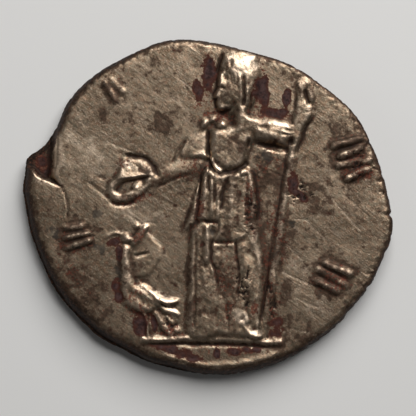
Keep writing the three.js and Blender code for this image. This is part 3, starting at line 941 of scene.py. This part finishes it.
def upper_masks(face):
    broad = face.rough(1.3, 20, 5)
    crumbly = face.rough(0.5, 21, 5)
    fine = face.rough(0.16, 22, 3)
    made = shape_masks(face, (4, 10))
    made["purple"] = np.clip(soft_ovals(face, PURPLE) * (1 + 0.9 * crumbly), 0, 1)
    reddened = np.maximum(soft_ovals(face, RED), 0.4 * soft_ovals(face, SPECKLED))
    made["red"] = np.clip(reddened * (1 + crumbly), 0, 1)
    made["slate"] = np.clip(soft_ovals(face, SLATE) * (1 + 0.9 * crumbly), 0, 1)
    rubbed = np.maximum(soft_ovals(face, BARE), 0.45 * soft_ovals(face, POLISHED))
    made["bare"] = np.maximum(np.clip(rubbed * (1 + 0.9 * crumbly), 0, 1), scored(face))
    # Brown toning, with painted shade on the figure's torso, overfold, face and the skirt's shaded left side
    browned = np.maximum(soft_ovals(face, BROWN), 0.45 * soft_ovals(face, FIGURE_SHADE))
    made["brown"] = np.clip(browned * (1 + 0.6 * crumbly) + 0.5 * broad, 0, 1)
    eaten = soft_ovals(face, PITTED) * (1 + fine)
    made["pit"] = np.clip((eaten - PIT_LEVEL) / PIT_SOFTNESS + 0.5, 0, 1)
    face.z -= PIT_DEPTH * made["pit"]
    return made


def under_masks(face):
    made = shape_masks(face, (2, 5))
    made["brown"] = np.clip(0.3 + 0.9 * face.rough(1.6, 30, 4), 0, 1)
    made["slate"] = np.clip(face.rough(2.2, 31, 4) - 0.25, 0, 1)
    made["red"] = np.clip(face.rough(1.8, 32, 4) - 0.2, 0, 1)
    for name in ("purple", "bare", "pit"):
        made[name] = np.zeros_like(face.z)
    return made


# Crust and painted shade on the coin's edge start at this share of the grid, and further out on the lit side,
# so the edge is darker away from the key lamp
EDGE_SHADE_FROM = 0.91
EDGE_SHADE_SPREAD = 0.03


def shape_masks(face, reaches):
    """Values from 0 to 1 that follow the relief: hollows for dirt and painted shade, creases for dirt and
    painted shade, rubbed high places, and the coin's edge for crust and painted shade.
    """
    near, far = [face.z - face.blurred(face.z, reach) for reach in reaches]
    step = near / 0.04 + far / 0.14
    return {
        "grime": np.clip(-step, 0, 1),
        # Sharp creases, for dirt and painted shade
        "crease_dirt_and_shade": np.clip(-near / 0.035 - 0.35, 0, 1),
        "worn": np.clip(step, 0, 1),
        # The coin's edge, for crust and painted shade, reaching further in away from the key lamp
        "edge": np.clip((face.rho - EDGE_SHADE_FROM - EDGE_SHADE_SPREAD * np.cos(face.turn - SHARP_LIT_SIDE)) / 0.05, 0, 1),
    }


# Mesh

def rim_walk(cells):
    """Index of each point round a grid's border, once round."""
    grid = np.arange((cells + 1) ** 2).reshape(cells + 1, cells + 1)
    return np.concatenate([grid[0, :-1], grid[:-1, -1], grid[-1, :0:-1], grid[:0:-1, 0]])


def grid_faces(cells):
    grid = np.arange((cells + 1) ** 2).reshape(cells + 1, cells + 1)
    return np.stack([grid[:-1, :-1], grid[:-1, 1:], grid[1:, 1:], grid[1:, :-1]], axis=-1).reshape(-1, 4)


def coin_mesh(upper, under):
    middle = (*flan_middle(), 0)
    top = np.stack([upper.x, upper.y, upper.ground + upper.z], axis=-1).reshape(-1, 3)
    low = np.stack([under.x, -under.y, np.maximum(under.ground - under.z, 0)], axis=-1).reshape(-1, 3)
    places = np.vstack([top, low]) - middle
    walk = rim_walk(upper.cells)
    # The lower grid is turned over, so its border runs the other way round.
    low_walk = rim_walk(under.cells) + len(top)
    start = np.argmin(np.linalg.norm(places[low_walk][:, :2] - places[walk[0]][:2], axis=1))
    low_walk = np.roll(low_walk, -start)
    low_walk = np.concatenate([low_walk[:1], low_walk[:0:-1]])
    faces = grid_faces(upper.cells).tolist() + (grid_faces(under.cells) + len(top)).tolist()
    count = len(low_walk)
    for i in range(count):
        a, b, c = walk[2 * i], walk[2 * i + 1], walk[(2 * i + 2) % len(walk)]
        d, e = low_walk[i], low_walk[(i + 1) % count]
        faces += [(b, a, d), (c, b, e), (b, d, e)]
    mesh = bpy.data.meshes.new("coin_surface")
    mesh.from_pydata((places * MM).tolist(), [], [tuple(map(int, corners)) for corners in faces])
    mesh.polygons.foreach_set("use_smooth", np.ones(len(mesh.polygons), bool))
    mesh.update()
    return mesh


def store(mesh, upper_values, under_values):
    for name, values in upper_values.items():
        attribute = mesh.attributes.new(name, "FLOAT", "POINT")
        joined = np.concatenate([values.ravel(), under_values[name].ravel()])
        attribute.data.foreach_set("value", joined.astype(np.float32))


# Material

class Shading:
    """A material's node tree, with short ways to add and link nodes."""

    def __init__(self, name):
        self.material = bpy.data.materials.new(name)
        self.material.use_nodes = True
        self.tree = self.material.node_tree
        self.shader = self.tree.nodes["Principled BSDF"]

    def node(self, kind, inputs=None, **settings):
        made = self.tree.nodes.new(kind)
        for key, value in settings.items():
            setattr(made, key, value)
        for key, value in (inputs or {}).items():
            self.put(made.inputs[key], value)
        return made

    def put(self, socket, value):
        if isinstance(value, bpy.types.NodeSocket):
            self.tree.links.new(value, socket)
        else:
            socket.default_value = value

    def mask(self, name):
        return self.node("ShaderNodeAttribute", attribute_name=name).outputs["Fac"]

    def mapped(self, vector, **inputs):
        return self.node("ShaderNodeMapping", {"Vector": vector, **inputs}).outputs[0]

    def noise(self, vector, scale, detail=3.0, roughness=0.5):
        inputs = {"Vector": vector, "Scale": scale, "Detail": detail, "Roughness": roughness}
        return self.node("ShaderNodeTexNoise", inputs).outputs["Fac"]

    def streaks(self, vector, turn_deg, scale):
        """Noise drawn out along one direction."""
        turned = self.mapped(vector, Rotation=(0, 0, math.radians(turn_deg)))
        return self.noise(self.mapped(turned, Scale=scale), 1.0, 4, 0.6)

    def math(self, operation, a, b, c=0.0):
        return self.node("ShaderNodeMath", {0: a, 1: b, 2: c}, operation=operation).outputs[0]

    def span(self, value, low, high, to_low=0.0, to_high=1.0):
        """A value's place between two limits, clamped, as a number between two others."""
        inputs = {"Value": value, "From Min": low, "From Max": high, "To Min": to_low, "To Max": to_high}
        return self.node("ShaderNodeMapRange", inputs).outputs["Result"]

    def over(self, name, grain, spread, low=0.3, high=0.7):
        """A mask whose edge is broken up by a grain."""
        rough = self.math("SUBTRACT", grain, 0.5)
        return self.span(self.math("MULTIPLY_ADD", rough, spread, self.mask(name)), low, high)

    def raised(self, value, **amounts):
        """A value raised, or lowered, where masks are."""
        for name, amount in amounts.items():
            value = self.math("MULTIPLY_ADD", self.mask(name), amount, value)
        return value

    def mix(self, share, a, b):
        made = self.node("ShaderNodeMix", data_type="RGBA")
        self.put(made.inputs["Factor"], share)
        self.put(made.inputs[6], a)
        self.put(made.inputs[7], b)
        return made.outputs[2]

    def blend(self, share, a, b):
        made = self.node("ShaderNodeMix", data_type="FLOAT")
        self.put(made.inputs["Factor"], share)
        self.put(made.inputs[2], a)
        self.put(made.inputs[3], b)
        return made.outputs[0]


# Colours of the metal, from the toned field to the places rubbed bright
FIELD_DARK = (0.225, 0.15, 0.094, 1)
FIELD_LIGHT = (0.42, 0.3, 0.2, 1)
FIELD_GREY = (0.3, 0.255, 0.18, 1)
FLUSH_PINK = (0.47, 0.26, 0.165, 1)
FLUSH_GREY = (0.16, 0.135, 0.1, 1)
STREAK_DARK = (0.12, 0.085, 0.062, 1)
STREAK_LIGHT = (0.6, 0.47, 0.355, 1)
CROSS_LIGHT = (0.66, 0.52, 0.4, 1)
FLECK_LIGHT = (0.74, 0.58, 0.44, 1)
WORN_METAL = (0.88, 0.68, 0.51, 1)
BARE_METAL = (0.86, 0.67, 0.5, 1)
# Colours of what covers it, some of them also standing for painted shade in hollows, creases and on the edge
# Dirt, also laid as painted shade in hollows and on the edge
DIRT_AND_SHADE_DARK = (0.024, 0.015, 0.011, 1)
DIRT_AND_SHADE_BROWN = (0.085, 0.046, 0.03, 1)
RUST_DARK = (0.045, 0.015, 0.011, 1)
RUST_RED = (0.19, 0.06, 0.036, 1)
SLATE_DARK = (0.018, 0.016, 0.013, 1)
SLATE_GREY = (0.075, 0.067, 0.055, 1)
STAIN_BORDER = (0.07, 0.023, 0.015, 1)
STAIN_DARK = (0.03, 0.017, 0.016, 1)
STAIN_MAUVE = (0.085, 0.046, 0.041, 1)
# Black of pits and of dirt in creases, also standing for painted shade in the creases
SOOT_AND_SHADE = (0.02, 0.012, 0.009, 1)
# Edge crust, also laid as painted shade on the side away from the key lamp
CRUST_AND_SHADE_DARK = (0.015, 0.0095, 0.007, 1)
CRUST_RED = (0.13, 0.055, 0.032, 1)
# How the surface shines, clean, and under its patina, dirt and painted shade
SPECULAR = 0.1
COVERED_METALLIC = 0.2
CLEAN_ROUGHNESS = (0.34, 0.46)
COVERED_ROUGHNESS = 0.6


class Mottling:
    """The noises that break up the metal's colour, placed in millimetres on the coin."""

    def __init__(self, paint):
        place = paint.node("ShaderNodeTexCoord").outputs["Object"]
        per_mm = paint.mapped(place, Scale=(1 / MM,) * 3)
        self.broad = paint.noise(per_mm, 0.55, 4)
        self.patchy = paint.noise(per_mm, 2.2, 6, 0.65)
        self.grain = paint.noise(per_mm, 14.0, 3, 0.6)
        self.hue = paint.noise(per_mm, 4.1, 3, 0.6)
        self.rust = paint.noise(paint.mapped(per_mm, Location=(31, 17, 5)), 7.0, 4, 0.6)
        self.flush = paint.noise(paint.mapped(per_mm, Location=(11, 43, 9)), 8.0, 4, 0.65)
        self.streak = paint.streaks(per_mm, 36, (0.9, 10, 1))
        self.cross = paint.streaks(per_mm, 62, (1.1, 15, 1))


def metal_tone(paint, spots):
    """Colour of the metal where nothing covers it."""
    worn = paint.math("MULTIPLY", paint.over("worn", spots.grain, 0.8), 0.35)
    bare = paint.math("MULTIPLY", paint.over("bare", spots.grain, 0.8, 0.3, 0.8), 0.65)
    tone = paint.mix(paint.span(spots.broad, 0.35, 0.65), FIELD_DARK, FIELD_LIGHT)
    for share, colour in (
        (paint.span(spots.hue, 0.42, 0.62, 0, 0.65), FIELD_GREY),
        (paint.span(spots.flush, 0.54, 0.68, 0, 0.6), FLUSH_PINK),
        (paint.span(spots.flush, 0.45, 0.32, 0, 0.5), FLUSH_GREY),
        (paint.span(spots.streak, 0.4, 0.26, 0, 0.5), STREAK_DARK),
        (paint.span(spots.streak, 0.56, 0.74, 0, 0.5), STREAK_LIGHT),
        (paint.span(spots.cross, 0.58, 0.76, 0, 0.5), CROSS_LIGHT),
        (paint.span(spots.grain, 0.57, 0.7, 0, 0.65), FLECK_LIGHT),
        (worn, WORN_METAL),
        (bare, BARE_METAL),
    ):
        tone = paint.mix(share, tone, colour)
    return tone


def patina_layers(paint, spots):
    """What lies on the metal, and the painted shade laid with it in hollows, creases and on the edge, lowest
    first: how far it is seen, its colour, how far it dulls the metal.
    """
    # Dirt in patches, with painted shade added in the hollows, on the figure's shaded parts and on the edge
    soiled_and_shaded = paint.raised(spots.patchy, brown=0.18, bare=-0.15, grime=0.2, edge=0.3)
    dirty_and_shaded = paint.span(soiled_and_shaded, 0.52, 0.66, 0, 0.88)
    dirt_and_shade = paint.mix(paint.span(spots.hue, 0.4, 0.6), DIRT_AND_SHADE_DARK, DIRT_AND_SHADE_BROWN)
    rusty = paint.span(paint.raised(spots.rust, red=0.3, purple=0.16, grime=0.08), 0.62, 0.72, 0, 0.9)
    rust = paint.mix(paint.span(spots.flush, 0.4, 0.62), RUST_DARK, RUST_RED)
    slated = paint.span(paint.raised(spots.patchy, slate=0.44), 0.66, 0.86, 0, 0.75)
    slate = paint.mix(spots.hue, SLATE_DARK, SLATE_GREY)
    staining = paint.raised(spots.patchy, purple=0.5)
    stained = paint.span(staining, 0.65, 0.73)
    skin = paint.mix(paint.span(spots.hue, 0.4, 0.62), STAIN_DARK, STAIN_MAUVE)
    stain = paint.mix(paint.span(staining, 0.74, 1.0), STAIN_BORDER, skin)
    # Painted shade and dirt: near-black lines in the sharp creases beside the relief, laid with the black of
    # the pits
    creased_and_shaded = paint.math("MULTIPLY", paint.over("crease_dirt_and_shade", spots.grain, 0.6), 0.8)
    sooty_and_shaded = paint.math("MAXIMUM", paint.over("pit", spots.grain, 0.5), creased_and_shaded)
    # Crust on the coin's edge, with painted shade that reaches further in on the side away from the key lamp
    edge_crust_and_shade = paint.over("edge", spots.grain, 0.9, 0.5, 0.9)
    edge_crust_and_shade_colour = paint.mix(paint.span(spots.flush, 0.5, 0.7), CRUST_AND_SHADE_DARK, CRUST_RED)
    return (
        (dirty_and_shaded, dirt_and_shade, paint.math("MULTIPLY", dirty_and_shaded, 0.5)),
        (rusty, rust, rusty),
        (slated, slate, slated),
        (stained, stain, stained),
        (sooty_and_shaded, SOOT_AND_SHADE, sooty_and_shaded),
        (paint.math("MULTIPLY", edge_crust_and_shade, 0.93), edge_crust_and_shade_colour, edge_crust_and_shade),
    )


def silver_material():
    paint = Shading("toned_silver")
    spots = Mottling(paint)
    tone = metal_tone(paint, spots)
    # Patina, dirt and painted shade make the metal less metallic and rougher where they lie
    covered_and_shaded = None
    for share, colour, dulled in patina_layers(paint, spots):
        tone = paint.mix(share, tone, colour)
        covered_and_shaded = paint.math("MAXIMUM", covered_and_shaded, dulled) if covered_and_shaded else dulled
    paint.put(paint.shader.inputs["Base Color"], tone)
    paint.put(paint.shader.inputs["Specular IOR Level"], SPECULAR)
    paint.put(paint.shader.inputs["Metallic"], paint.span(covered_and_shaded, 0, 1, 1, COVERED_METALLIC))
    clean = paint.span(spots.patchy, 0.3, 0.7, *CLEAN_ROUGHNESS)
    paint.put(paint.shader.inputs["Roughness"], paint.blend(covered_and_shaded, clean, COVERED_ROUGHNESS))

    normal = None
    for height, strength, deep in (
        (spots.grain, 0.35, 0.03),
        (spots.streak, 0.35, 0.03),
        (spots.cross, 0.3, 0.02),
    ):
        inputs = {"Height": height, "Strength": strength, "Distance": deep * MM}
        if normal:
            inputs["Normal"] = normal
        normal = paint.node("ShaderNodeBump", inputs).outputs[0]
    paint.put(paint.shader.inputs["Normal"], normal)
    return paint.material


# Stage

# The floor lies just below the coin
FLOOR_DROP = 0.00001
FLOOR_SIZE = 0.6
FLOOR_COLOUR = (0.8, 0.79, 0.77, 1)
FLOOR_ROUGHNESS = 0.8
# The lamps: place, size and power
KEY = ((0.0575, 0.1416, 0.1527), 0.18, 0.56)
FILL = ((-0.2, -0.05, 0.14), 0.15, 0.02)
WORLD_STRENGTH = 0.04


def make_floor():
    bpy.ops.mesh.primitive_plane_add(size=FLOOR_SIZE, location=(0, 0, -FLOOR_DROP))
    floor = bpy.context.object
    floor.name = "floor"
    material = bpy.data.materials.new("pale_floor")
    material.use_nodes = True
    shader = material.node_tree.nodes["Principled BSDF"]
    shader.inputs["Base Color"].default_value = FLOOR_COLOUR
    shader.inputs["Roughness"].default_value = FLOOR_ROUGHNESS
    floor.data.materials.append(material)


def make_light(name, place, size, power):
    light = bpy.data.lights.new(name, "AREA")
    light.size = size
    light.energy = power
    made = bpy.data.objects.new(name, light)
    made.location = place
    made.rotation_euler = (-Vector(place)).to_track_quat("-Z", "Y").to_euler()
    bpy.context.scene.collection.objects.link(made)


def make_world(strength):
    world = bpy.data.worlds.new("studio")
    bpy.context.scene.world = world
    world.use_nodes = True
    world.node_tree.nodes["Background"].inputs["Color"].default_value = (1, 1, 1, 1)
    world.node_tree.nodes["Background"].inputs["Strength"].default_value = strength


# Frame of the photograph: its width in pixels, the size of one on the coin, and its middle
VIEW_PIXELS = 416
MM_PER_PIXEL = 0.0505
VIEW_WIDTH = VIEW_PIXELS * MM_PER_PIXEL * MM
VIEW_MIDDLE = (-0.076, -0.035)
LENS_MM = 150
SENSOR_MM = 36


def make_camera():
    data = bpy.data.cameras.new("camera")
    data.lens = LENS_MM
    data.sensor_width = SENSOR_MM
    data.clip_start = 0.001
    camera = bpy.data.objects.new("camera", data)
    x, y = np.subtract(VIEW_MIDDLE, flan_middle()) * MM
    camera.location = (x, y, VIEW_WIDTH * LENS_MM / SENSOR_MM + UPPER_FIELD_Z * MM)
    bpy.context.scene.collection.objects.link(camera)
    bpy.context.scene.camera = camera


def make_coin():
    upper, under = upper_face(), under_face()
    upper_values, under_values = upper_masks(upper), under_masks(under)
    mesh = coin_mesh(upper, under)
    store(mesh, upper_values, under_values)
    piece = bpy.data.objects.new("coin_piece", mesh)
    bpy.context.scene.collection.objects.link(piece)
    mesh.materials.append(silver_material())
    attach(piece, "root")
    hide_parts("coin")


make_camera()
make_coin()
make_floor()
bpy.context.scene.view_settings.view_transform = "Standard"
make_light("key", *KEY)
make_light("fill", *FILL)
make_world(WORLD_STRENGTH)
